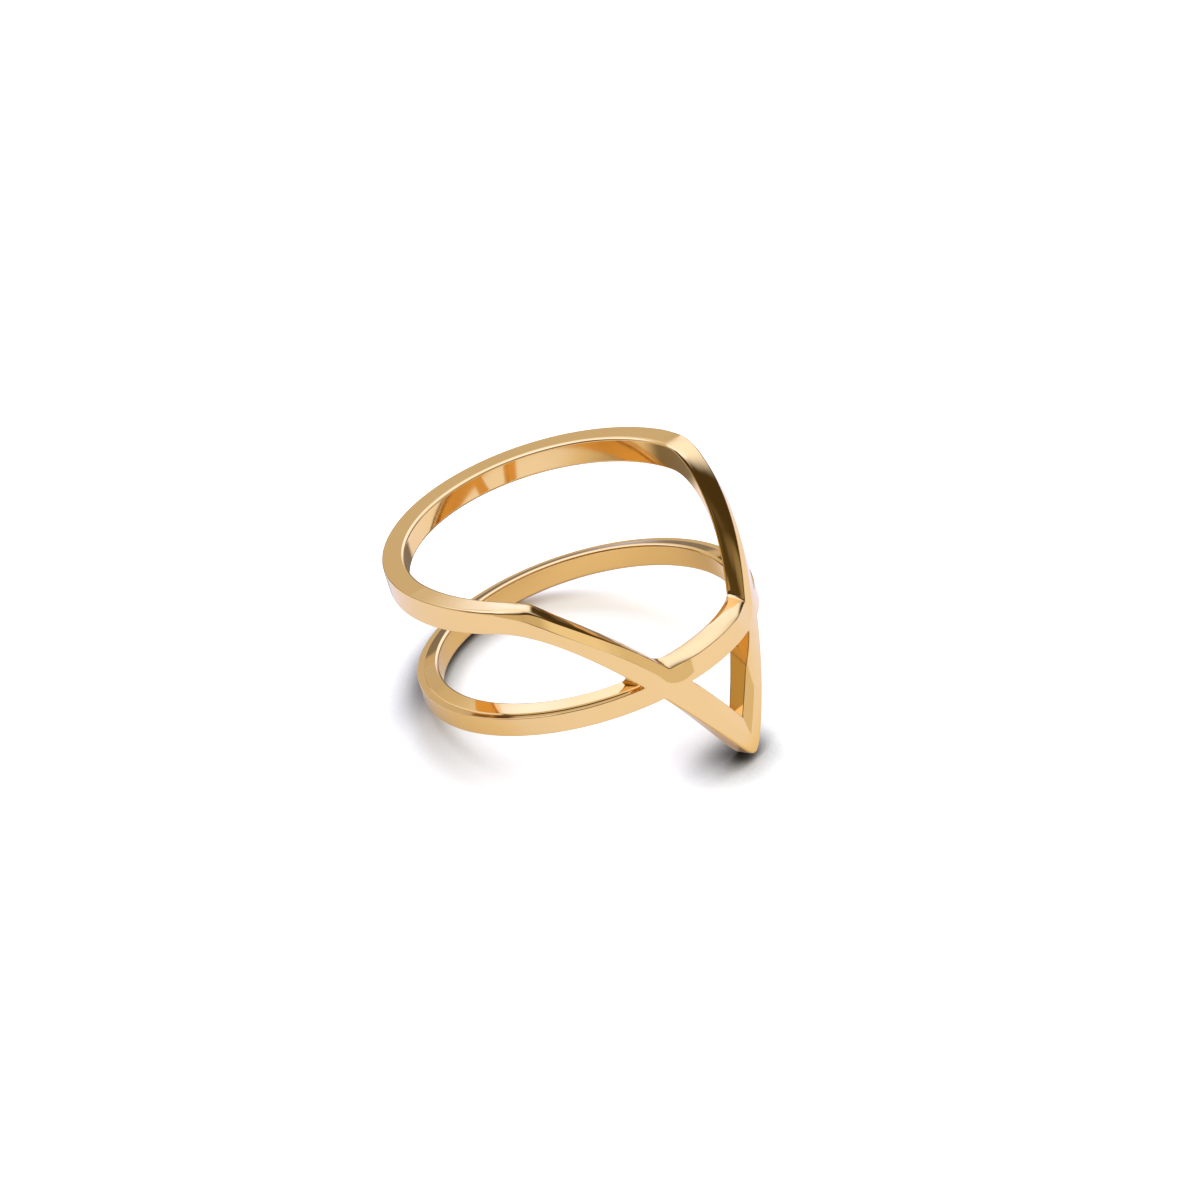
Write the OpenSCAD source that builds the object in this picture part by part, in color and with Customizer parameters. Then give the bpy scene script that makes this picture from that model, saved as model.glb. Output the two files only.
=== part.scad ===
// Openwork chevron ring, lying on its side as it rests by itself.
// It is one casting: a plain round band, and an upper loop whose front dips
// in a V that runs down through the band and ends in a point below it.
// Angles go round the finger axis, with 0 at the middle of the face.

/* [Finger size] */
// Inside diameter of the ring
bore_d = 17.3; // [15.7:0.1:19.8]
// Thickness of the metal, from the bore to the outer face
wall = 1.3; // [1:0.05:1.6]

/* [Plain band] */
// Height of the plain band at the bore
band_h = 1.5; // [1.3:0.05:1.7]
// Depth of the band's lower edge under the ring's middle plane
band_depth = 3.9; // [3.4:0.1:4.4]
// Tilt of the band, which lifts it at the face
band_tilt = 0.5; // [0:0.1:1.5]
// Fall of the band's upper side from the bore to the ledge at its outer edge
band_fall = 0.35; // [0.1:0.05:0.5]
// Width of the ledge
ledge_w = 0.3; // [0.1:0.05:0.5]
// Fall of the ledge to the outer face
ledge_fall = 0.1; // [0.05:0.05:0.2]
// Angle each side of the face where the band is the higher arch
arch_half_angle = 27; // [24:1:29]
// How much higher the arch is at the bore
arch_rise = 0.35; // [0.1:0.05:0.5]
// Fall of the arch's upper side from the bore to the outer face
arch_fall = 0.4; // [0.1:0.05:0.5]

/* [Upper loop] */
// Height of the loop's upper edge over the ring's middle plane
loop_top = 4.65; // [4.2:0.05:5.2]
// Height of the loop's lower edge at the back
loop_bottom = 3.25; // [2.9:0.05:3.6]
// How much lower the loop's lower edge would lie at the face
loop_droop = 0.65; // [0:0.05:1]
// Angle where the straight arms start to bend into the loop
shoulder_from = 40; // [38:1:44]
// Angle where the arms have become the loop
shoulder_to = 76; // [72:1:80]

/* [Chevron] */
// Depth of the point under the ring's middle plane
point_depth = 10.05; // [9.5:0.05:10.6]
// How far from the middle the rounding of the point reaches
point_round = 0.5; // [0.2:0.05:0.8]
// Slope of the arms' lower edges, seen from the front
arm_low_slope = 1.49; // [1.4:0.01:1.6]
// Depth of the V's inner corner under the ring's middle plane
notch_depth = 7.7; // [7.2:0.05:8.2]
// Extra steepness of the arms' upper edges towards the inner corner
arm_bow = 2.6; // [1.5:0.1:3.2]

/* [Bevel inside the V] */
// Height of the bevel on the outer face
bevel_h = 0.73; // [0.4:0.01:0.9]
// Depth of the bevel under the outer face
bevel_d = 0.2; // [0.1:0.01:0.3]
// Angle where the bevel has its full depth
bevel_full_angle = 62; // [55:1:66]
// Angle where the bevel runs out
bevel_end_angle = 85; // [80:1:92]

/* [Hidden] */
$fn = 180;

bore_r = bore_d / 2;
outer_r = bore_r + wall;
// Cutting bodies reach this far past the ring on both sides of the wall
overcut = 1;
core_r = bore_r - overcut;
reach_r = outer_r + overcut;

band_low = -band_depth;
band_high = band_low + band_h;
tip_z = -point_depth;
// Height at which the arms' two lower edges would meet without rounding
arm_low_z = tip_z - arm_low_slope * point_round;
// The arms' upper edges end at the loop's upper edge, a quarter turn from the face
arm_high_rise = loop_top + notch_depth - arm_bow;

// Pose: the ring leans back on the point and on the band's lower edge behind it
rest_z = band_low - outer_r * sin(band_tilt);
lean = atan((rest_z - tip_z) / (outer_r + bore_r));
lift = -(bore_r * sin(lean) + tip_z * cos(lean));
front_y = -outer_r * cos(lean) + tip_z * sin(lean);
back_y = outer_r * cos(lean) + loop_top * sin(lean);

// The upper loop is swept through this many sections
section_count = 144;
section_step = 360 / section_count;

arm_low = function (a) arm_low_z + arm_low_slope * norm([outer_r * sin(a), point_round]);
arm_high = function (a) -notch_depth + arm_bow + arm_high_rise * sin(a) - arm_bow * (1 - sin(a)) ^ 2;
loop_low = function (a) loop_bottom - loop_droop * (1 + cos(a)) / 2;
loop_high = function (a) loop_top;

// Change of f over one degree at angle a
function slope(f, a) = f(a + 0.5) - f(a - 0.5);

// Cubic from height z0 to z1 with end slopes m0 and m1, for u from 0 to 1
function blend(u, z0, z1, m0, m1) =
    (2 * u ^ 3 - 3 * u ^ 2 + 1) * z0 + (u ^ 3 - 2 * u ^ 2 + u) * m0
    + (3 * u ^ 2 - 2 * u ^ 3) * z1 + (u ^ 3 - u ^ 2) * m1;

// Height of an edge that follows the arm, bends at the shoulder and follows the loop
function edge_z(a, arm, loop) =
    a <= shoulder_from ? arm(a)
    : a >= shoulder_to ? loop(a)
    : let (span = shoulder_to - shoulder_from, u = (a - shoulder_from) / span)
      blend(u, arm(shoulder_from), loop(shoulder_to),
            span * slope(arm, shoulder_from), span * slope(loop, shoulder_to));

// Depth of the inner bevel; past its end the cutting face lies outside the ring
function bevel_depth(a) =
    let (left = (bevel_end_angle - a) / (bevel_end_angle - bevel_full_angle))
    bevel_d * max(-overcut, min(1, left));

function at(angle, r, z) = [r * sin(angle), -r * cos(angle), z];

// Four corners of the upper loop's section; the side faces point at the finger axis
function section(angle) =
    let (a = abs(angle), low = edge_z(a, arm_low, loop_low), high = edge_z(a, arm_high, loop_high),
         high_r = outer_r - bevel_depth(a), low_r = high_r + (high - low) * bevel_d / bevel_h)
    [at(angle, core_r, low), at(angle, low_r, low), at(angle, high_r, high), at(angle, core_r, high)];

module upper_loop() {
    corners = [for (i = [0 : section_count - 1]) each section(i * section_step - 180)];
    total = 4 * section_count;
    sides = [for (i = [0 : section_count - 1], k = [0 : 3])
        let (a = 4 * i + k, b = 4 * i + (k + 1) % 4, c = (b + 4) % total, d = (a + 4) % total)
        each [[a, b, c], [a, c, d]]];
    polyhedron(points = corners, faces = sides, convexity = 6);
}

// Point at radius r on the line through p and q, which are [radius, height]
function along(p, q, r) = [r, p.y + (q.y - p.y) * (r - p.x) / (q.x - p.x)];

// Band section turned round the finger; top lists the points of its upper side, outside first
module band_ring(top) {
    rotate_extrude()
        polygon(concat([[core_r, band_low], [reach_r, band_low]], top));
}

// Loop-shaped part of the band, with the ledge along its outer edge
module band_loop() {
    at_bore = [bore_r, band_high];
    at_ledge = [outer_r - ledge_w, band_high - band_fall];
    at_face = [outer_r, band_high - band_fall - ledge_fall];
    band_ring([along(at_ledge, at_face, reach_r), at_ledge, along(at_bore, at_ledge, core_r)]);
}

// The higher, plain section that makes the arch across the face
module band_arch() {
    at_bore = [bore_r, band_high + arch_rise];
    at_face = [outer_r, band_high + arch_rise - arch_fall];
    intersection() {
        band_ring([along(at_bore, at_face, reach_r), along(at_bore, at_face, core_r)]);
        face_wedge();
    }
}

// Wedge in front of the finger axis, round the band's square-edged arch
module face_wedge() {
    far = 2 * outer_r;
    half_w = far * tan(arch_half_angle);
    translate([0, 0, band_low - overcut])
        linear_extrude(band_h + 3 * overcut)
            polygon([[0, 0], [-half_w, -far], [half_w, -far]]);
}

module band() {
    rotate([-band_tilt, 0, 0]) {
        band_loop();
        band_arch();
    }
}

// Wall of the finger tube, from below the point to above the loop
module tube() {
    height = point_depth + loop_top + 2 * overcut;
    translate([0, 0, tip_z - overcut])
        difference() {
            cylinder(r = outer_r, h = height);
            translate([0, 0, -overcut])
                cylinder(r = bore_r, h = height + 2 * overcut);
        }
}

module ring() {
    color("#dcb469")
        translate([0, -(front_y + back_y) / 2, lift])
            rotate([-lean, 0, 0])
                intersection() {
                    tube();
                    union() {
                        upper_loop();
                        band();
                    }
                }
}

ring();
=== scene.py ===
import logging
from collections.abc import Callable, Mapping, Sequence
from dataclasses import dataclass, field
from enum import Enum
from math import atan, cos, pi, radians, sin

import bpy
import numpy as np
from mathutils import Matrix, Vector
from mathutils.geometry import delaunay_2d_cdt
from mathutils.kdtree import KDTree


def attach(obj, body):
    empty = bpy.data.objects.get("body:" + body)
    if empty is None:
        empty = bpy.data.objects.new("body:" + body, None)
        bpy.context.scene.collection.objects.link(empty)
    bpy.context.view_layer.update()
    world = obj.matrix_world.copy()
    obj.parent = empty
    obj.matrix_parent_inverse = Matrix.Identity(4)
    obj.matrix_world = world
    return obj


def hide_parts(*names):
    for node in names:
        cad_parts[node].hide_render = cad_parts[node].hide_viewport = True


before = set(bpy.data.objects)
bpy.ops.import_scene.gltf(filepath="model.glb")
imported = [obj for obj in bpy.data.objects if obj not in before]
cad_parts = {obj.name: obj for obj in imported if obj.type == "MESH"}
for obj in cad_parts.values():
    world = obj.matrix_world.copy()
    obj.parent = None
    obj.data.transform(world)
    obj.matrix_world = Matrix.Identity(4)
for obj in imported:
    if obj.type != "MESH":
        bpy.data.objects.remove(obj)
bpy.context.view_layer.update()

LOG = logging.getLogger("ring_scene")
MM = 0.001
BACK_ANGLE = 180.0
# Angles and lengths closer than this are the same, in degrees and millimetres
SAME = 1e-6
# Smallest divisor of a mitred vector, which keeps it short at sharp corners
MITRE_LIMIT = 0.3
# Number of places tested at a time, which bounds the memory that the test takes
SPOTS_AT_ONCE = 2000
# Green falls off at this share of the rate of blue in the studio's warm tones
GREEN_SHARE = 0.27
# Edge sizes change between the chevron in front and the plain loops at the side and back
FRONT_ANGLE = 58.0
SIDE_ANGLE = 80.0
# The loop's outer edge is polished rounder at the left shoulder, this far to its front and back
SHOULDER_ANGLE = 66.0
SHOULDER_FRONT_REACH = 4.0
SHOULDER_BACK_REACH = 20.0

Array = np.ndarray
EdgeCurve = Callable[[Array, float], Array]
Colour = tuple[float, float, float, float]
Tree = bpy.types.NodeTree
Socket = bpy.types.NodeSocket


def linear(code: str) -> Colour:
    """Turns an sRGB hex colour such as "#f7ce81" into the linear colour that Blender's sockets take."""
    parts = [int(code[i:i + 2], 16) / 255 for i in (1, 3, 5)]
    red, green, blue = (p / 12.92 if p <= 0.04045 else ((p + 0.055) / 1.055) ** 2.4 for p in parts)
    return red, green, blue, 1.0


def add_node(tree: Tree, kind: str, settings: Mapping[str, object] | None = None,
             inputs: Mapping[str | int, object] | None = None) -> bpy.types.Node:
    """Adds a node, sets its options, and fills or links its inputs.

    Args:
        tree: Node tree that gets the node.
        kind: Blender's name of the node type.
        settings: Options of the node by name.
        inputs: Value or output socket for each input, by its name or number.

    Returns:
        The new node.
    """
    node = tree.nodes.new(kind)
    for name, value in (settings or {}).items():
        setattr(node, name, value)
    for key, value in (inputs or {}).items():
        if isinstance(value, Socket):
            tree.links.new(value, node.inputs[key])
        else:
            node.inputs[key].default_value = value
    return node


def calc(tree: Tree, operation: str, *values: Socket | float) -> Socket:
    """Adds a Math node over one or two values and gives its result."""
    return add_node(tree, "ShaderNodeMath", {"operation": operation}, dict(enumerate(values))).outputs[0]


def ramp(tree: Tree, value: Socket, start: float, stop: float, low: float = 0.0, high: float = 1.0) -> Socket:
    """Goes softly from low to high while a value goes from start to stop."""
    return add_node(tree, "ShaderNodeMapRange", {"interpolation_type": "SMOOTHSTEP"}, {
        "Value": value, "From Min": start, "From Max": stop, "To Min": low, "To Max": high}).outputs[0]


def mix(tree: Tree, share: Socket | float, one: Socket | Colour, two: Socket | Colour,
        kind: str = "MIX") -> Socket:
    """Mixes two colours; a share of 1 gives the second."""
    return add_node(tree, "ShaderNodeMix", {"data_type": "RGBA", "blend_type": kind}, {
        "Factor": share, 6: one, 7: two}).outputs[2]


def noise(tree: Tree, place: Socket, size_mm: float, detail: float) -> Socket:
    """Adds noise whose forms are about this size."""
    return add_node(tree, "ShaderNodeTexNoise", inputs={
        "Vector": place, "Scale": 1 / (size_mm * MM), "Detail": detail}).outputs[0]


def part(value: Array, start: float, stop: float) -> Array:
    """Goes evenly from 0 to 1 while a value goes from start to stop."""
    return np.clip((value - start) / (stop - start), 0, 1)


def fade(value: Array, start: float, stop: float) -> Array:
    """Goes softly from 0 to 1 while a value goes from start to stop."""
    u = part(value, start, stop)
    return u ** 2 * (3 - 2 * u)


def cubic(u: Array, start: Array, stop: Array, slope_in: Array, slope_out: Array) -> Array:
    """Cubic from start to stop with these end slopes, for u from 0 to 1."""
    return ((2 * u ** 3 - 3 * u ** 2 + 1) * start + (u ** 3 - 2 * u ** 2 + u) * slope_in
            + (3 * u ** 2 - 2 * u ** 3) * stop + (u ** 3 - u ** 2) * slope_out)


def unit(vectors: Array) -> Array:
    """Vectors of the same direction and a length of one."""
    return vectors / np.linalg.norm(vectors, axis=-1, keepdims=True)


def plane(r: float) -> tuple[float, float]:
    """Factors that turn an angle in degrees and a height into places in the plane unrolled at radius r."""
    return radians(1) * r, 1


def facing(azimuth: float, elevation: float) -> Vector:
    """Direction from the ring towards a place: an azimuth of 0 is in front, 90 on the ring's right."""
    a, e = radians(azimuth), radians(elevation)
    return Vector((sin(a) * cos(e), -cos(a) * cos(e), sin(e)))


def new_object(name: str, data: bpy.types.ID) -> bpy.types.Object:
    """Makes an object and puts it in the scene."""
    made = bpy.data.objects.new(name, data)
    bpy.context.scene.collection.objects.link(made)
    return made


class Side(Enum):
    """The two broad surfaces of the ring's wall."""

    OUTER = "outer"
    BORE = "bore"


@dataclass(frozen=True)
class RingEdges:
    """Sizes of the ring and the height of each of its edges, in millimetres and degrees.

    Angles go round the finger from the middle of the face. Heights are along the finger, over the
    ring's middle plane. The values are the CAD part's, except where the photo shows finer forms: the
    band's step and ledge, the arch's lower edge and crown, the bevel's lines and the left shoulder.
    """

    bore_r: float = 8.65
    wall: float = 1.3
    band_low: float = -3.9
    band_high: float = -2.4
    band_tilt: float = 0.5
    top_fall: float = 0.25
    ledge_w: float = 0.45
    ledge_drop: float = 0.33
    step_w: float = 0.035
    arch_low: float = -3.745
    arch_high_bore: float = -2.05
    arch_high_face: float = -2.45
    arch_crown: float = 0.04
    loop_top: float = 4.65
    loop_bottom: float = 3.25
    loop_droop: float = 0.65
    shoulder_from: float = 40.0
    shoulder_to: float = 76.0
    point_depth: float = 10.05
    point_round: float = 0.5
    arm_low_slope: float = 1.49
    notch_depth: float = 7.7
    arm_bow: float = 2.6
    bevel_h: float = 0.73
    bevel_d: float = 0.2
    bevel_full_angle: float = 62.0
    bevel_end_angle: float = 85.0
    notch_fade: tuple[float, float] = (10.0, 22.0)
    window_fade: tuple[float, float] = (7.0, 15.0)
    corner_end_angle: float = 20.8
    corner_fall: float = 0.16
    crease_w: float = 0.07
    least_rise: float = 0.02

    # Angles between which pairs of edges cross, and how often the search halves them
    upper_notch_span: tuple[float, float] = (10.0, 40.0)
    lower_notch_span: tuple[float, float] = (15.0, 45.0)
    side_notch_span: tuple[float, float] = (20.0, 60.0)
    window_span: tuple[float, float] = (8.0, 25.0)
    halvings: int = 60

    # The bevel's line round the upper notch, from the arch to the arm: angles and heights
    notch_line: tuple[tuple[float, float], ...] = (
        (10.0, -3.1), (12.0, -3.18), (15.0, -3.27), (19.0, -3.31), (22.5, -3.18),
        (25.0, -2.93), (28.0, -2.17), (32.0, -1.33), (36.0, -0.57), (40.0, 0.105))
    # The bevel's line under the window, from the V's corner to the crossing
    window_line: tuple[tuple[float, float], ...] = (
        (0.0, -8.95), (5.0, -7.7), (10.0, -6.4), (15.0, -5.1), (20.8, -3.86))
    # Upper edge at the left shoulder, which bends later and harder: angles and heights
    left_shoulder: tuple[tuple[float, float], ...] = (
        (42.0, 1.146), (48.0, 1.998), (52.0, 2.532), (56.0, 3.044), (59.0, 3.442), (61.0, 3.684),
        (62.4, 3.846), (63.6, 3.948), (65.5, 4.03), (69.0, 4.132), (76.0, 4.29), (83.0, 4.41),
        (90.0, 4.51), (100.0, 4.61), (110.0, 4.65))

    @property
    def outer_r(self) -> float:
        """Radius of the outer face."""
        return self.bore_r + self.wall

    @property
    def lean(self) -> float:
        """Angle by which the ring leans back on its point, in radians."""
        rest_z = self.band_low - self.outer_r * sin(radians(self.band_tilt))
        return atan((rest_z + self.point_depth) / (self.outer_r + self.bore_r))

    @property
    def seat(self) -> tuple[float, float, float]:
        """Place of the ring's middle once it leans, so that it lies on the floor."""
        sine, cosine = sin(self.lean), cos(self.lean)
        front = -self.outer_r * cosine - self.point_depth * sine
        back = self.outer_r * cosine + self.loop_top * sine
        return 0.0, -(front + back) / 2, self.point_depth * cosine - self.bore_r * sine

    def arm_low(self, a: Array) -> Array:
        """Height of the arms' lower edges, rounded at the point."""
        reach = np.hypot(self.outer_r * np.sin(np.radians(a)), self.point_round)
        return -self.point_depth + self.arm_low_slope * (reach - self.point_round)

    def arm_high(self, a: Array) -> Array:
        """Height of the arms' upper edges, bowed towards the V's inner corner."""
        sine = np.sin(np.radians(a))
        rise = self.loop_top + self.notch_depth - self.arm_bow
        return -self.notch_depth + self.arm_bow + rise * sine - self.arm_bow * (1 - sine) ** 2

    def loop_low(self, a: Array) -> Array:
        """Height of the upper loop's lower edge round the back."""
        return self.loop_bottom - self.loop_droop * (1 + np.cos(np.radians(a))) / 2

    def loop_high(self, a: Array) -> Array:
        """Height of the upper loop's upper edge round the back."""
        return np.full_like(a, self.loop_top)

    def bend(self, a: Array, arm: Callable[[Array], Array], loop: Callable[[Array], Array]) -> Array:
        """Height of an edge that follows an arm, bends at the shoulder and follows the loop."""
        start, stop = np.array(self.shoulder_from), np.array(self.shoulder_to)
        # The slope at each end is the change over one degree
        slopes = [(stop - start) * (f(end + 0.5) - f(end - 0.5)) for f, end in ((arm, start), (loop, stop))]
        between = cubic(part(a, start, stop), arm(start), loop(stop), *slopes)
        return np.where(a <= start, arm(a), np.where(a >= stop, loop(a), between))

    def low(self, a: Array, r: float = 0.0) -> Array:
        """Height of the lower edge of the arms and the upper loop."""
        return self.bend(a, self.arm_low, self.loop_low)

    def high(self, a: Array, r: float = 0.0) -> Array:
        """Height of the upper edge of the arms and the upper loop."""
        return self.bend(a, self.arm_high, self.loop_high)

    def band_lift(self, a: Array, r: float) -> Array:
        """Height that the band's tilt adds, which is most at the face."""
        return r * np.cos(np.radians(a)) * sin(radians(self.band_tilt))

    def band_bottom(self, a: Array, r: float) -> Array:
        """Height of the band's lower edge."""
        return self.band_low + self.band_lift(a, r)

    def band_top(self, a: Array, r: float) -> Array:
        """Height of the band's upper side at radius r, with its step down to the ledge."""
        ledge_r = self.outer_r - self.ledge_w
        radii = (self.bore_r, ledge_r - self.step_w, ledge_r, self.outer_r)
        falls = (0, self.top_fall, self.ledge_drop, self.ledge_drop)
        return self.band_high - np.interp(r, radii, falls) + self.band_lift(a, r)

    def arch_bottom(self, a: Array, r: float) -> Array:
        """Height of the arch's lower edge, over the window."""
        return self.arch_low + self.band_lift(a, r)

    def arch_top(self, a: Array, r: float) -> Array:
        """Height of the arch's upper side at radius r, a little crowned."""
        u = (self.outer_r - r) / self.wall
        crown = 4 * self.arch_crown * u * (1 - u)
        plain = self.arch_high_face + (self.arch_high_bore - self.arch_high_face) * u
        return plain + crown + self.band_lift(a, r)

    def meeting(self, upper: EdgeCurve, lower: EdgeCurve, r: float, near: float, far: float) -> float:
        """Angle between near and far, at radius r, where the upper edge rises over the lower one."""
        for _ in range(self.halvings):
            middle = (near + far) / 2
            if float(upper(np.array(middle), r) - lower(np.array(middle), r)) > 0:
                far = middle
            else:
                near = middle
        return (near + far) / 2

    def upper_notch(self, r: float) -> float:
        """Angle where the arm's upper edge leaves the arch."""
        return self.meeting(self.high, self.arch_top, r, *self.upper_notch_span)

    def lower_notch(self, r: float) -> float:
        """Angle where the arm's lower edge leaves the band's lower edge."""
        return self.meeting(self.low, self.band_bottom, r, *self.lower_notch_span)

    def side_notch(self, r: float) -> float:
        """Angle where the arm's lower edge leaves the band's upper side, at the gap between the loops."""
        return self.meeting(self.low, self.band_top, r, *self.side_notch_span)

    def window_corner(self, r: float) -> float:
        """Angle where the arm's upper edge meets the arch's lower edge, at the window's corner."""
        return self.meeting(self.high, self.arch_bottom, r, *self.window_span)

    def rim_top(self, a: Array) -> Array:
        """Height of the outer face's upper edge: the arch in front, then the arm and the loop."""
        r = self.outer_r
        return np.where(a < self.upper_notch(r), self.arch_top(a, r), self.high(a))

    def bevel_left(self, a: Array) -> Array:
        """How much of the V's bevel is left towards the back, from 1 to 0."""
        return part(a, self.bevel_end_angle, self.bevel_full_angle)

    def bevel(self, a: Array, z: Array) -> Array:
        """Depth of the bevels inside the V and under the window, at positive angles and their heights."""
        r, line = self.outer_r, self.bevel_line(a)
        depth = self.bevel_d * self.bevel_left(a) * fade(a, *self.notch_fade)
        upper = depth * self.ease(z - line) / np.maximum(self.rim_top(a) - line, self.least_rise)

        foot = smooth_curve(self.window_line, a)
        edge = np.where(a < self.window_corner(r), self.high(a), self.arch_bottom(a, r))
        depth = self.bevel_d * (1 - fade(a, *self.window_fade))
        lower = depth * np.minimum(self.ease(z - foot) / np.maximum(edge - foot, self.least_rise), 1)
        lower *= np.clip(1 - (z - edge) / self.corner_fall, 0, 1)
        return upper + lower

    def ease(self, rise: Array) -> Array:
        """Rounds a crease: nothing below it, the plain rise above it, and a soft bend between."""
        w = self.crease_w
        return np.where(rise > w, rise, np.clip(rise + w, 0, None) ** 2 / (4 * w))

    def settle(self, a: Array, z: Array) -> Array:
        """Heights of points after the upper edge at the left shoulder is lowered; the lower edge stays."""
        low, high = self.low(np.abs(a)), self.high(np.abs(a))
        first, last = self.left_shoulder[0][0], self.left_shoulder[-1][0]
        share = part(z, low, high) * ((-last < a) & (a < -first))
        return z - share * (high - smooth_curve(self.left_shoulder, np.abs(a)))

    def bevel_line(self, a: Array) -> Array:
        """Height of the line where the bevel of the V meets the outer face."""
        return np.where(a < self.notch_line[-1][0], smooth_curve(self.notch_line, a),
                        self.high(a) - self.bevel_h * self.bevel_left(a))


def smooth_curve(points: Sequence[tuple[float, float]], a: Array) -> Array:
    """Heights of a smooth curve through points of angle and height; past its ends it stays level."""
    x, y = np.array(points).T
    slopes = np.gradient(y, x)
    i = np.clip(np.searchsorted(x, a) - 1, 0, len(x) - 2)
    span = x[i + 1] - x[i]
    return cubic(part(a, x[i], x[i + 1]), y[i], y[i + 1], span * slopes[i], span * slopes[i + 1])


def shoulder_share(a: Array) -> Array:
    """How much of the left shoulder's extra rounding there is at an angle, from 0 to 1."""
    past = a + SHOULDER_ANGLE
    return np.exp(-(past / np.where(past > 0, SHOULDER_FRONT_REACH, SHOULDER_BACK_REACH)) ** 2)


@dataclass
class Rim:
    """Edge line of the metal in the unrolled plane, with the metal on its left.

    Each point has an angle in degrees and a height, the radius of its polished edge, and the crown: the
    height of the wall's middle over its edges.
    """

    points: Array
    closed: bool
    rounding: Array
    crown: Array

    def inward(self, r: float) -> Array:
        """Mitred vectors that move the edge at radius r by one millimetre into the metal."""
        flat = self.points * plane(r)
        if self.closed:
            before, after = flat - np.roll(flat, 1, 0), np.roll(flat, -1, 0) - flat
        else:
            steps = np.diff(flat, axis=0)
            before, after = np.vstack([steps[:1], steps]), np.vstack([steps, steps[-1:]])
        first, second = (unit(np.stack([-d[:, 1], d[:, 0]], 1)) for d in (before, after))
        middle = unit(first + second)
        moved = middle / np.maximum((middle * second).sum(1), MITRE_LIMIT)[:, None]
        if not self.closed:
            moved[[0, -1]] = [(0, np.sign(moved[0, 1])), (0, np.sign(moved[-1, 1]))]
        return moved


@dataclass
class Stretch:
    """Part of an edge on the right half of the ring, from the face towards the back."""

    curve: EdgeCurve
    start: Callable[[float], float]
    stop: Callable[[float], float]
    rounding: tuple[float, float]
    crown: tuple[float, float]
    swell: float = 0.0
    samples: int = 2001
    fewest_steps: int = 4
    shares: Array = field(default_factory=lambda: np.zeros(0))

    def space(self, r: float, step: float) -> None:
        """Spaces points evenly along the edge at radius r, about a step of millimetres apart."""
        a = np.linspace(self.start(r), self.stop(r), self.samples)
        run = np.hypot(np.diff(np.radians(a) * r), np.diff(self.curve(a, r)))
        length = np.concatenate([[0], np.cumsum(run)])
        count = max(self.fewest_steps, round(length[-1] / step))
        even = np.interp(np.linspace(0, length[-1], count + 1), length, a)
        self.shares = (even - a[0]) / (a[-1] - a[0])

    def right(self, r: float) -> Array:
        """Points of the edge at radius r, as angle, height, rounding and crown."""
        a = self.start(r) + self.shares * (self.stop(r) - self.start(r))
        back = part(a, FRONT_ANGLE, SIDE_ANGLE)
        sizes = [front + (rear - front) * back for front, rear in (self.rounding, self.crown)]
        return np.stack([a, self.curve(a, r), *sizes], 1)

    def left(self, r: float) -> Array:
        """The same edge on the left half, from the back towards the face, rounder at the shoulder."""
        rows = self.right(r)[::-1] * (-1, 1, 1, 1)
        rows[:, 2] += self.swell * shoulder_share(rows[:, 0])
        return rows


@dataclass
class Patch:
    """Piece of the flat strip: points, faces and the polished normals at the faces' corners."""

    points: Array
    faces: Array
    normals: Array
    is_wall: bool


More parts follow.
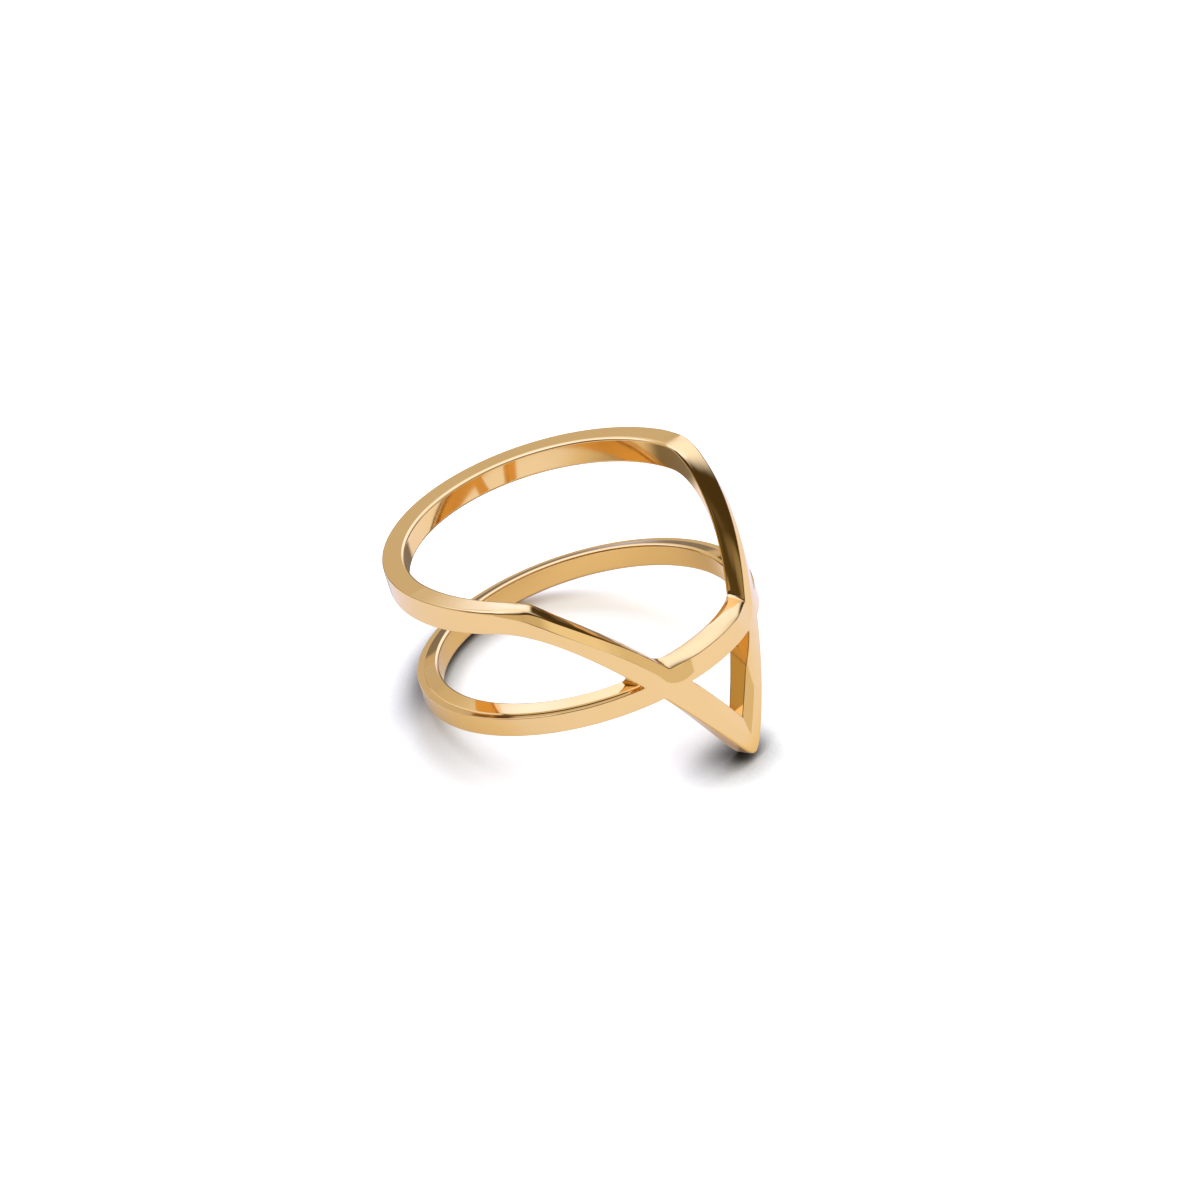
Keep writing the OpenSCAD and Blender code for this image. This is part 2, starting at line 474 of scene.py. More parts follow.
@dataclass
class OpenworkRing:
    """The ring: one casting, built as a flat strip with the chevron cut in it, wrapped round the finger."""

    edges: RingEdges
    # Spacing of the points along the edges and inside the surfaces
    step: float = 0.1
    grid: float = 0.22
    # Radii of the polished edges
    edge_rounding: float = 0.06
    arm_rounding: float = 0.16
    rim_rounding: float = 0.1
    shoulder_swell: float = 0.15
    ledge_rounding: float = 0.07
    bore_rounding: float = 0.18
    # Turn of each row of a rounding, and the turn that the light shows at the left shoulder and at the bore
    outer_turns: tuple[float, ...] = (1.0, 0.667, 0.333, 0.0)
    shoulder_shine: tuple[float, ...] = (1.0, 0.86, 0.66, 0.0)
    bore_turns: tuple[float, ...] = (1.0, 0.667, 0.4, 0.25, 0.14, 0.0)
    bore_shine: tuple[float, ...] = (1.0, 0.82, 0.68, 0.6, 0.25, 0.0)
    # Crown of the arch and of the arms, how it falls off towards the wall's edges, and the steepest wall
    pillow: float = 0.03
    arm_crown: float = 0.03
    bulge_power: int = 3
    steepest: float = 40.0
    # Size of the filled corners at the bore and, for the roots, at the outer face
    side_fill: float = 1.0
    left_notch_fill: float = 0.7
    right_notch_fill: float = 0.3
    corner_root: float = 0.05
    right_notch_root: float = 0.12
    fill_power: float = 1.5
    # Points on each side of a filled corner and along its bend, and passes that even out the roundings
    corner_points: int = 11
    bend_points: int = 13
    easing_passes: int = 6
    # Guides: clearance in roundings, numbers of points, and degrees they end sooner for a millimetre's rise
    guide_clear: float = 1.3
    guide_points: tuple[int, int] = (420, 110)
    guide_end: float = 20.0
    # Clearance in grid steps, the step that finds the bevel's slope, and how far inside a corner it is read
    grid_clear: float = 0.6
    probe: float = 0.002
    nudge: float = 0.03
    # Depths of the wall's rows, the fold from which its creases are sharp, and the gap that is welded
    even_shares: tuple[float, ...] = (0.0, 0.06, 0.13, 0.35, 0.5, 0.65, 0.8, 0.9, 1.0)
    crease_degrees: float = 15.0
    weld: float = 0.0002
    stretches: dict[str, Stretch] = field(default_factory=dict)

    def __post_init__(self) -> None:
        """Lays out the edge stretches and spaces their points."""
        e = self.edges
        face, back = (lambda r: 0.0), (lambda r: BACK_ANGLE)
        plain, soft = (self.edge_rounding,) * 2, (self.arm_rounding,) * 2
        even, crowned = (0.0, 0.0), (self.pillow, self.pillow)
        rounded, rim = (self.arm_crown, 0.0), (self.edge_rounding, self.rim_rounding)
        ledge = (self.ledge_rounding, self.edge_rounding)
        self.stretches = {
            "arch top": Stretch(e.arch_top, face, e.upper_notch, plain, crowned),
            "loop high": Stretch(e.high, e.upper_notch, back, rim, rounded, self.shoulder_swell),
            "arm low": Stretch(e.low, face, e.lower_notch, soft, even),
            "band low": Stretch(e.band_bottom, e.lower_notch, back, plain, even),
            "loop low": Stretch(e.low, e.side_notch, back, plain, even),
            "band top": Stretch(e.band_top, e.side_notch, back, ledge, even),
            "window top": Stretch(e.arch_bottom, face, e.window_corner, plain, even),
            "window arms": Stretch(e.high, face, e.window_corner, plain, even),
        }
        for stretch in self.stretches.values():
            stretch.space(e.outer_r, self.step)

    @property
    def wall_shares(self) -> list[float]:
        """Depths of the wall's rows, with one on each side of the band's step."""
        e = self.edges
        flat = e.wall - 2 * self.edge_rounding
        step = [(w - self.edge_rounding) / flat for w in (e.ledge_w, e.ledge_w + e.step_w)]
        return sorted([*self.even_shares, *step])

    def rims(self, share: float) -> list[Rim]:
        """Draws the edge lines at one depth of the wall.

        Args:
            share: 0 at the outer face's edge, 1 at the bore's edge.

        Returns:
            The lower edge, upper edge, both side gaps and the window, with matching points.
        """
        e, s = self.edges, self.stretches
        r = e.outer_r - self.edge_rounding - share * (e.wall - 2 * self.edge_rounding)

        def chain(*parts: Array, closed: bool = False, fills: Sequence[tuple[float, float]] = ()) -> Rim:
            """Joins parts that share their end points, and fills the corners whose sizes are given."""
            rows = np.vstack([p[:-1] for p in parts] + ([] if closed else [parts[-1][-1:]]))
            joints = [j for j in np.cumsum([len(p) - 1 for p in parts])[:-1] if abs(rows[j, 0]) > SAME]
            for joint, (root, full) in zip(joints, fills):
                self.fill_corner(rows, int(joint), root + (full - root) * share ** self.fill_power, r)
            return Rim(rows[:, :2], closed, rows[:, 2], rows[:, 3])

        side = [(self.corner_root, self.side_fill)]
        notches = [(self.right_notch_root, self.right_notch_fill), (self.corner_root, self.left_notch_fill)]
        lower = chain(s["band low"].left(r), s["arm low"].left(r),
                      s["arm low"].right(r), s["band low"].right(r))
        upper = chain(s["loop high"].right(r)[::-1], s["arch top"].right(r)[::-1],
                      s["arch top"].left(r)[::-1], s["loop high"].left(r)[::-1], fills=notches)
        right_gap = chain(s["band top"].right(r)[::-1], s["loop low"].right(r), fills=side)
        left_gap = chain(s["loop low"].left(r), s["band top"].left(r)[::-1], fills=side)
        window = chain(s["window top"].left(r), s["window top"].right(r), s["window arms"].right(r)[::-1],
                       s["window arms"].left(r)[::-1], closed=True)
        return [lower, upper, right_gap, left_gap, window]

    def fill_corner(self, rows: Array, joint: int, size: float, r: float) -> None:
        """Rounds one inner corner, as the casting's metal fills it towards the bore.

        Args:
            rows: Points of the edge line, changed in place.
            joint: Number of the corner's point.
            size: Distance from the corner at which the rounding starts, in millimetres.
            r: Radius at which the edge lies.
        """
        middle = self.corner_points
        reach = slice(joint - middle, joint + middle + 1)
        path = rows[reach, :2] * plane(r)
        corner = path[middle]
        away = np.linalg.norm(path - corner, axis=1)
        before, after = (np.array([np.interp(size, away[way], path[way, k]) for k in (0, 1)])
                         for way in (slice(middle, None, -1), slice(middle, None)))
        u = np.linspace(0, 1, self.bend_points)[:, None]
        bend = before * (1 - u) ** 2 + corner * 2 * u * (1 - u) + after * u ** 2
        kept = [path[side][away[side] > size] for side in (slice(middle), slice(middle + 1, None))]
        line = np.vstack([kept[0], bend, kept[1]])
        run = np.concatenate([[0], np.cumsum(np.linalg.norm(np.diff(line, axis=0), axis=1))])
        even = np.linspace(0, run[-1], 2 * middle + 1)
        for k in (0, 1):
            rows[reach, k] = np.interp(even, run, line[:, k]) / plane(r)[k]

    def wall_rows(self) -> list[tuple[list[Array], list[Array], Array]]:
        """Works out the wall between the outer face and the bore along every edge line.

        Returns:
            For each edge line: the points of each row, their depths, and the angle by which the
            polished edge turns from the outer face to the wall.
        """
        e = self.edges
        levels = [self.rims(share) for share in self.wall_shares]
        made = []
        for i, rim in enumerate(levels[0]):
            rounding = self.soften(rim)
            last = e.wall - self.bore_rounding
            cut = e.bevel(np.abs(rim.points[:, 0]), rim.points[:, 1])
            rows = []
            for share, level in zip(self.wall_shares, levels):
                r = e.outer_r - share * e.wall
                bulge = level[i].crown * (1 - abs(2 * share - 1) ** self.bulge_power)
                rows.append(level[i].points - level[i].inward(r) * bulge[:, None] / plane(r))
            first = rounding + cut
            step = (rows[1] - rows[0]) * plane(e.outer_r)
            outward = unit(-rim.inward(e.outer_r))
            tilt = np.arctan2((step * outward).sum(1), self.wall_shares[1] * (last - first))
            turn = pi / 2 - np.clip(tilt, 0, radians(self.steepest))
            first = rounding * (1 - np.cos(turn)) + cut
            made.append((rows, [first + (last - first) * share for share in self.wall_shares], turn))
        return made

    def soften(self, rim: Rim) -> Array:
        """Rounding radius along a rim, eased where a soft edge meets a plain one."""
        eased = rim.rounding.copy()
        for _ in range(self.easing_passes):
            eased[1:-1] = ((np.roll(eased, 1) + eased + np.roll(eased, -1)) / 3)[1:-1]
        return eased

    def surface(self, side: Side) -> Patch:
        """Fills one broad surface between its edge lines.

        Args:
            side: Outer face or bore.

        Returns:
            Triangles of the surface in the flat strip, with normals from the surface's own rule.
        """
        e, outer = self.edges, side is Side.OUTER
        r = e.outer_r if outer else e.bore_r
        steps = self.outer_turns if outer else self.bore_turns
        shines = self.shoulder_shine if outer else self.bore_shine
        rims = self.rims(0.0 if outer else 1.0)
        rows: list[Array] = []
        links: list[tuple[int, int]] = []

        def add(row: Array, closed: bool = False) -> None:
            """Adds a row of points, each joined to the next: angle, height, depth, turn and its direction."""
            ids = sum(map(len, rows)) + np.arange(len(row))
            links.extend(list(zip(ids, np.roll(ids, -1)))[:None if closed else -1])
            rows.append(np.pad(row, ((0, 0), (0, 6 - row.shape[1]))))

        for rim, (_, _, turn) in zip(rims, self.wall_rows()):
            inward = rim.inward(r)
            rounding = self.soften(rim) if outer else np.full(len(rim.points), self.bore_rounding)
            whole = turn if outer else np.full(len(rim.points), pi / 2)
            for step, shine in zip(steps, shines):
                psi = whole * step
                if outer:
                    shine = step + (shine - step) * shoulder_share(rim.points[:, 0])
                moved = inward * (rounding * (np.sin(whole) - np.sin(psi)))[:, None]
                add(np.column_stack([rim.points + moved / plane(r), rounding * (1 - np.cos(psi)),
                                     whole * shine, unit(-inward)]), rim.closed)
        for guide in self.bevel_guides() if outer else []:
            add(guide)
        fill = self.fill_points(rims, np.vstack(rows)[:, :2])
        table = np.vstack([*rows, np.pad(fill, ((0, 0), (0, 4)))])
        links += self.seam_links(table)

        made = delaunay_2d_cdt([Vector(p) for p in (table[:, :2] * plane(e.outer_r)).tolist()],
                               [(int(i), int(j)) for i, j in links], [], 0, SAME / 10)
        out = np.array([tuple(v) for v in made[0]]) / plane(e.outer_r)
        tris = np.array([f for f in made[2] if len(f) == 3])
        source = np.array([o[0] if o else -1 for o in made[3]])
        LOG.info("%s surface: %d points, %d new at crossings", side.value, len(out), int((source < 0).sum()))
        tris = tris[inside_metal(out[tris].mean(1), rims)]
        lift, psi, *turns = np.where((source >= 0)[:, None], table[source], 0).T[2:]

        depth = lift + e.bevel(np.abs(out[:, 0]), out[:, 1]) if outer else e.wall - lift
        corners = out[tris]
        nudged = corners + self.nudge * (corners.mean(1, keepdims=True) - corners)
        tilt = psi[tris][..., None]
        side_way = np.stack([turns[0][tris], np.zeros(tris.shape), turns[1][tris]], -1)
        normals = unit(np.cos(tilt) * self.rule_normals(nudged, outer) + np.sin(tilt) * side_way)
        points = np.stack([np.radians(out[:, 0]) * e.outer_r, depth, out[:, 1]], 1)
        if not outer:
            tris, normals = tris[:, ::-1], normals[:, ::-1]
        return Patch(points, tris, normals, False)

    def rule_normals(self, spots: Array, outer: bool) -> Array:
        """Normals of the bare surface in the flat strip, from the slope of the bevel; the bore is plain."""
        if not outer:
            return np.broadcast_to(np.array([0.0, 1.0, 0.0]), spots.shape[:-1] + (3,))
        e, h = self.edges, self.probe
        a, z = spots[..., 0], spots[..., 1]
        da = h / plane(e.outer_r)[0]
        across = (e.bevel(np.abs(a + da), z) - e.bevel(np.abs(a - da), z)) / (2 * h)
        along = (e.bevel(np.abs(a), z + h) - e.bevel(np.abs(a), z - h)) / (2 * h)
        return unit(np.stack([across, np.full_like(across, -1.0), along], -1))

    def bevel_guides(self) -> list[Array]:
        """Lines of the bevels on the outer face, which the triangles must follow."""
        e = self.edges
        a = np.linspace(e.notch_fade[0], e.bevel_end_angle, self.guide_points[0])
        line = e.bevel_line(a)
        room = e.rim_top(a) - line - 2 * self.guide_clear * self.edge_rounding - e.crease_w
        right, left = room > 0, room > self.shoulder_swell * shoulder_share(-a)
        b = np.linspace(0, e.corner_end_angle, self.guide_points[1])
        foot = smooth_curve(e.window_line, b)
        guides = []
        for rise in (-e.crease_w, 0, e.crease_w):
            upper = np.stack([a, line + rise], 1)
            lower = np.stack([b, foot + rise], 1)[b < e.corner_end_angle - self.guide_end * abs(rise)]
            guides += [upper[right], upper[left] * (-1, 1), np.vstack([lower[:0:-1] * (-1, 1), lower])]
        return guides

    def fill_points(self, lines: list[Rim], taken: Array) -> Array:
        """Spreads a regular grid of points inside the metal, clear of the points already there.

        Args:
            lines: Edge lines of this surface.
            taken: Points along the edges and bevels.

        Returns:
            Angle and height of each grid point, with the seam's points at both ends.
        """
        e = self.edges
        count = round(2 * pi * e.outer_r / self.grid)
        a = np.linspace(-BACK_ANGLE, BACK_ANGLE, count + 1)
        z = np.arange(-e.point_depth, e.loop_top, self.grid)
        grid = np.array(np.meshgrid(a, z)).T.reshape(-1, 2)
        on_seam = np.abs(grid[:, 0]) > BACK_ANGLE - SAME
        probe = grid * np.where(on_seam, 1 - SAME, 1)[:, None] ** (1, 0)
        grid = grid[inside_metal(probe, lines)]
        scale, clear = plane(e.outer_r), self.grid_clear * self.grid
        tree = KDTree(len(taken))
        for i, spot in enumerate((taken * scale).tolist()):
            tree.insert((*spot, 0), i)
        tree.balance()
        return grid[[tree.find((*spot, 0))[2] > clear for spot in (grid * scale).tolist()]]

    def seam_links(self, flat: Array) -> list[tuple[int, int]]:
        """Pairs of points that join the back seam from bottom to top, on both ends of the strip."""
        e = self.edges
        links = []
        gap = (e.band_high + e.loop_bottom) / 2
        for end in (-BACK_ANGLE, BACK_ANGLE):
            rows = np.flatnonzero(np.abs(flat[:, 0] - end) < SAME)
            for loop in (rows[flat[rows, 1] < gap], rows[flat[rows, 1] > gap]):
                loop = loop[np.argsort(flat[loop, 1])]
                links += list(zip(loop[:-1], loop[1:]))
        return links

    def walls(self) -> list[Patch]:
        """Joins the outer face to the bore along every edge line."""
        patches = []
        for rim, (lines, depths, _) in zip(self.rims(0.0), self.wall_rows()):
            rows = [np.stack([np.radians(line[:, 0]) * self.edges.outer_r, depth, line[:, 1]], 1)
                    for line, depth in zip(lines, depths)]
            n = len(rim.points)
            along = np.arange(n if rim.closed else n - 1)
            here, there = (n * np.arange(len(rows) - 1)[:, None] + k for k in (along, (along + 1) % n))
            quads = np.stack([here, here + n, there + n, there], -1).reshape(-1, 4)
            patches.append(Patch(np.vstack(rows), quads, np.zeros(quads.shape + (3,)), True))
        return patches

    def to_world(self, flat: Array, vectors: Array) -> Array:
        """Turns directions at places along the flat strip as the wrapping turns them."""
        e = self.edges
        theta = flat / e.outer_r
        sine, cosine = np.sin(theta), np.cos(theta)
        along, into, up = np.moveaxis(vectors, -1, 0)
        y = along * sine + into * cosine
        s, c = sin(e.lean), cos(e.lean)
        return np.stack([along * cosine - into * sine, y * c + up * s, up * c - y * s], -1)

    def strip(self) -> bpy.types.Mesh:
        """Joins all surfaces into one flat mesh in metres, with its normals kept at the corners."""
        patches = [self.surface(Side.OUTER), self.surface(Side.BORE), *self.walls()]
        points, faces, normals, walls = [], [], [], []
        for patch in patches:
            start = sum(map(len, points))
            along = np.degrees(patch.points[:, 0] / self.edges.outer_r)
            patch.points[:, 2] = self.edges.settle(along, patch.points[:, 2])
            points.append(patch.points)
            faces += (patch.faces + start).tolist()
            walls += [patch.is_wall] * len(patch.faces)
            turned = self.to_world(patch.points[patch.faces][..., 0], patch.normals)
            normals.append(turned.reshape(-1, 3))
        mesh = bpy.data.meshes.new("ring_strip")
        mesh.from_pydata((np.vstack(points) * MM).tolist(), [], faces)
        polish = mesh.attributes.new("polish", "FLOAT_VECTOR", "CORNER")
        polish.data.foreach_set("vector", np.vstack(normals).astype(np.float32).ravel())
        kind = mesh.attributes.new("is_wall", "INT", "FACE")
        kind.data.foreach_set("value", np.array(walls, dtype=np.int32))
        return mesh

    def build(self, metal: bpy.types.Material) -> bpy.types.Object:
        e = self.edges
        strip = new_object("ring_strip", self.strip())
        modifier = strip.modifiers.new("wrap", "NODES")
        modifier.node_group = wrapping_tree()
        values = {"Outer radius": e.outer_r * MM, "Lean": -e.lean,
                  "Seat": [v * MM for v in e.seat], "Weld": self.weld * MM, "Metal": metal}
        sockets = {item.name: item.identifier for item in modifier.node_group.interface.items_tree
                   if item.item_type == "SOCKET" and item.in_out == "INPUT"}
        for name, value in values.items():
            modifier[sockets[name]] = value
        graph = bpy.context.evaluated_depsgraph_get()
        mesh = bpy.data.meshes.new_from_object(strip.evaluated_get(graph), depsgraph=graph)
        bpy.data.objects.remove(strip)
        mesh.name = "openwork_ring"
        self.polish(mesh)
        piece = new_object("openwork_ring", mesh)
        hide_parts("ring")
        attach(piece, "root")
        return piece

    def polish(self, mesh: bpy.types.Mesh) -> None:
        """Marks the creases of the wrapped mesh and sets the normals that the surface's rule gives."""
        wall = np.zeros(len(mesh.polygons), dtype=np.int32)
        mesh.attributes["is_wall"].data.foreach_get("value", wall)
        corner = np.zeros(3 * len(mesh.loops), dtype=np.float32)
        mesh.attributes["polish"].data.foreach_get("vector", corner)
        ways = np.array([p.normal[:] for p in mesh.polygons])
        sides: list[list[int]] = [[] for _ in mesh.edges]
        for polygon in mesh.polygons:
            for loop in polygon.loop_indices:
                sides[mesh.loops[loop].edge_index].append(polygon.index)
        limit = cos(radians(self.crease_degrees))
        sharp = np.zeros(len(mesh.edges), dtype=bool)
        for edge, pair in enumerate(sides):
            if len(pair) == 2:
                one, two = pair
                sharp[edge] = wall[one] != wall[two] or (wall[one] and float(ways[one] @ ways[two]) < limit)
        loose = sum(len(pair) != 2 for pair in sides)
        LOG.info("ring: %d faces, %d edges not shared by two", len(mesh.polygons), loose)
        mesh.shade_smooth()
        crease = mesh.attributes.get("sharp_edge") or mesh.attributes.new("sharp_edge", "BOOLEAN", "EDGE")
        crease.data.foreach_set("value", sharp)
        mesh.normals_split_custom_set(corner.reshape(-1, 3).tolist())
        for name in ("polish", "is_wall"):
            mesh.attributes.remove(mesh.attributes[name])


def inside_metal(spots: Array, lines: Sequence[Rim]) -> Array:
    """Tests which places of the flat strip lie in the metal, with an odd number of its edge lines above."""
    p, q = (np.vstack([np.roll(rim.points, shift, 0)[:None if rim.closed else -1] for rim in lines])
            for shift in (0, -1))
    found = np.zeros(len(spots), dtype=bool)
    for k in range(0, len(spots), SPOTS_AT_ONCE):
        a, z = np.hsplit(spots[k:k + SPOTS_AT_ONCE], 2)
        spans = (p[:, 0] <= a) != (q[:, 0] <= a)
        run = np.where(q[:, 0] == p[:, 0], 1, q[:, 0] - p[:, 0])
        height = p[:, 1] + (q[:, 1] - p[:, 1]) * (a - p[:, 0]) / run
        found[k:k + SPOTS_AT_ONCE] = (spans & (height > z)).sum(1) % 2 == 1
    return found


def new_material(name: str) -> tuple[bpy.types.Material, Tree]:
    """Makes a material with an empty node tree."""
    material = bpy.data.materials.new(name)
    material.use_nodes = True
    material.node_tree.nodes.clear()
    return material, material.node_tree


def wrapping_tree() -> Tree:
    """Builds the Geometry Nodes rule that wraps a flat strip round the finger and leans the ring back."""
    tree = bpy.data.node_groups.new("wrap_round_finger", "GeometryNodeTree")
    for name, kind in (("Geometry", "Geometry"), ("Outer radius", "Float"), ("Lean", "Float"),
                       ("Seat", "Vector"), ("Weld", "Float"), ("Metal", "Material")):
        tree.interface.new_socket(name, in_out="INPUT", socket_type=f"NodeSocket{kind}")
    tree.interface.new_socket("Geometry", in_out="OUTPUT", socket_type="NodeSocketGeometry")
    given = add_node(tree, "NodeGroupInput").outputs
    place = add_node(tree, "GeometryNodeInputPosition").outputs[0]
    flat = add_node(tree, "ShaderNodeSeparateXYZ", inputs={0: place}).outputs
    angle = calc(tree, "DIVIDE", flat[0], given["Outer radius"])
    radius = calc(tree, "SUBTRACT", given["Outer radius"], flat[1])
    x = calc(tree, "MULTIPLY", radius, calc(tree, "SINE", angle))
    y = calc(tree, "MULTIPLY", calc(tree, "MULTIPLY", radius, calc(tree, "COSINE", angle)), -1.0)
    wrapped = add_node(tree, "ShaderNodeCombineXYZ", inputs={0: x, 1: y, 2: flat[2]}).outputs[0]
    leaned = add_node(tree, "ShaderNodeVectorRotate", {"rotation_type": "X_AXIS"},
                      {"Vector": wrapped, "Angle": given["Lean"]}).outputs[0]
    seated = add_node(tree, "ShaderNodeVectorMath", {"operation": "ADD"}, {0: leaned, 1: given["Seat"]})
    moved = add_node(tree, "GeometryNodeSetPosition",
                     inputs={"Geometry": given["Geometry"], "Position": seated.outputs[0]})
    welded = add_node(tree, "GeometryNodeMergeByDistance",
                      inputs={"Geometry": moved.outputs[0], "Distance": given["Weld"]})
    real = add_node(tree, "GeometryNodeRealizeInstances", inputs={0: welded.outputs[0]})
    dressed = add_node(tree, "GeometryNodeSetMaterial",
                       inputs={"Geometry": real.outputs[0], "Material": given["Metal"]})
    add_node(tree, "NodeGroupOutput", inputs={0: dressed.outputs[0]})
    return tree


@dataclass(frozen=True)
class PolishedYellowGold:
    """Cast 14 carat yellow gold, buffed to a mirror.

    The alloy gives warm, pale yellow reflections that turn deep orange where gold faces gold.
    Buffing leaves a very fine haze and a barely wavy surface.
    """

    name: str = "polished_yellow_gold"
    light_gold: str = "#f7ca7d"
    deep_gold: str = "#f4c474"
    roughness_low: float = 0.04
    roughness_high: float = 0.1
    wave_mm: float = 2.6
    wave_height_mm: float = 0.004
    haze_mm: float = 0.25
    tone_mm: float = 4.0

    def make(self) -> bpy.types.Material:
        """Builds the metal, with slow waves, a fine haze and a slight change of tone."""
        material, tree = new_material(self.name)
        place = add_node(tree, "ShaderNodeTexCoord").outputs["Object"]
        tone = noise(tree, place, self.tone_mm, detail=2.0)
        colour = mix(tree, tone, linear(self.light_gold), linear(self.deep_gold))
        haze = noise(tree, place, self.haze_mm, detail=5.0)
        rough = add_node(tree, "ShaderNodeMapRange", inputs={
            "Value": haze, "To Min": self.roughness_low, "To Max": self.roughness_high})
        waves = noise(tree, place, self.wave_mm, detail=1.0)
        bump = add_node(tree, "ShaderNodeBump", inputs={
            "Height": waves, "Distance": self.wave_height_mm * MM, "Strength": 1.0})
        metal = add_node(tree, "ShaderNodeBsdfPrincipled", inputs={
            "Base Color": colour, "Metallic": 1.0, "Roughness": rough.outputs[0], "Normal": bump.outputs[0]})
        add_node(tree, "ShaderNodeOutputMaterial", inputs={"Surface": metal.outputs[0]})
        return material


@dataclass(frozen=True)
class MattPaperSweep:
    """Matt pale paper under the ring, lit so that it shows as plain white outside the ring's shadow.

    A painted shadow darkens the paper's colour on the left, at the point and inside the band, where the metal
    nearly touches the paper. The polished metal sees the paper in tones painted for its reflections alone,
    which turn to a painted brown behind the ring.
    """

    name: str = "matt_pale_paper"
    colour: str = "#ece7d1"
    # Painted shadow: a dark colour that an ambient-occlusion share lays over the paper, strongest on the
    # left, at the point and inside the band
    painted_contact_shade: str = "#1e1e1c"
    painted_shade_reach_mm: float = 4.0
    contact_samples: int = 8
    painted_shade_power: float = 0.9
    painted_shade_x_mm: tuple[float, float] = (1.0, 5.0)
    painted_point_shade_share: float = 4.0
    point_y_mm: tuple[float, float] = (-10.5, -8.0)
    painted_inner_shade_share: float = 2.2
    inner_y_mm: tuple[float, float] = (5.5, 8.0)
    # Painted reflection: tones of the paper that only the metal's reflections see, dimmer than the paper
    # itself; grey under the ring, bluish further off, a painted brown behind the ring and a duller tone far
    # behind
    under: str = "#bcb7aa"
    around: str = "#bcbfcc"
    around_mm: tuple[float, float] = (13.0, 19.0)
    behind: str = "#666055"
    behind_x_mm: tuple[float, float] = (-3.0, 2.0)
    behind_y_mm: tuple[float, float] = (7.5, 9.5)
    distant: str = "#9b9078"
    distant_y_mm: tuple[float, float] = (27.0, 35.0)

    def make(self) -> bpy.types.Material:
        """Builds the paper, with its painted shadow and the painted reflection tones that only the polished
        metal sees.
        """
        material, tree = new_material(self.name)
        mirrored = add_node(tree, "ShaderNodeLightPath").outputs["Is Glossy Ray"]
        place = add_node(tree, "ShaderNodeTexCoord").outputs["Object"]
        x, y, _ = add_node(tree, "ShaderNodeSeparateXYZ", inputs={0: place}).outputs
        away = add_node(tree, "ShaderNodeVectorMath", {"operation": "LENGTH"}, {0: place}).outputs["Value"]
        open_sky = add_node(tree, "ShaderNodeAmbientOcclusion", {"samples": self.contact_samples},
                            {"Distance": self.painted_shade_reach_mm * MM}).outputs["AO"]

        def over(value: Socket, span_mm: tuple[float, float], low: float = 0.0, high: float = 1.0) -> Socket:
            """Goes softly from low to high across a span of the floor."""
            return ramp(tree, value, span_mm[0] * MM, span_mm[1] * MM, low, high)

        # Painted shade: the paper's colour darkens towards the painted shadow colour where metal is near,
        # fading out to the right, deeper at the point and inside the band
        side = over(x, self.painted_shade_x_mm, self.painted_shade_power, 0.0)
        point = over(y, self.point_y_mm, self.painted_point_shade_share, 1.0)
        inner = over(y, self.inner_y_mm, 1.0, self.painted_inner_shade_share)
        power = calc(tree, "MULTIPLY", calc(tree, "MULTIPLY", side, point), inner)
        seen_with_painted_shade = mix(tree, calc(tree, "POWER", open_sky, power), linear(self.painted_contact_shade), linear(self.colour))
        # Painted reflection tones, which glossy rays see in place of the paper's own colour
        near = mix(tree, over(away, self.around_mm), linear(self.under), linear(self.around))
        back = mix(tree, over(y, self.distant_y_mm), linear(self.behind), linear(self.distant))
        behind = calc(tree, "MULTIPLY", over(y, self.behind_y_mm), over(x, self.behind_x_mm))
        papers = [add_node(tree, "ShaderNodeBsdfDiffuse", inputs={"Color": colour}).outputs[0]
                  for colour in (seen_with_painted_shade, mix(tree, behind, near, back))]
        mixed = add_node(tree, "ShaderNodeMixShader", inputs={0: mirrored, 1: papers[0], 2: papers[1]})
        add_node(tree, "ShaderNodeOutputMaterial", inputs={"Surface": mixed.outputs[0]})
        return material


def studio_tone(level: float, warmth: float = 0.45) -> Colour:
    """Linear colour of a part of the studio, browner the darker it is; warmth says how fast it browns."""
    return level, level ** (1 + GREEN_SHARE * warmth), level ** (1 + warmth), 1.0


@dataclass(frozen=True)
class Card:
    """Soft round card round the ring, brighter or darker than the rest of the studio.

    Its place is a turn from +X towards +Y and an elevation, in degrees. It fades from the inner to the
    outer angle off its middle.
    """

    turn: float
    elevation: float
    inner: float
    outer: float
    level: float
    warmth: float = 0.45

    def paint(self, tree: Tree, way: Socket, light: Socket) -> Socket:
        """Lays the card over the light of the studio in the direction that is looked at."""
        t, e = radians(self.turn), radians(self.elevation)
        middle = (cos(t) * cos(e), sin(t) * cos(e), sin(e))
        near = add_node(tree, "ShaderNodeVectorMath", {"operation": "DOT_PRODUCT"}, {0: way, 1: middle})
        limits = (cos(radians(angle)) for angle in (self.outer, self.inner))
        share = ramp(tree, near.outputs["Value"], *limits)
        return mix(tree, share, light, studio_tone(self.level, self.warmth))


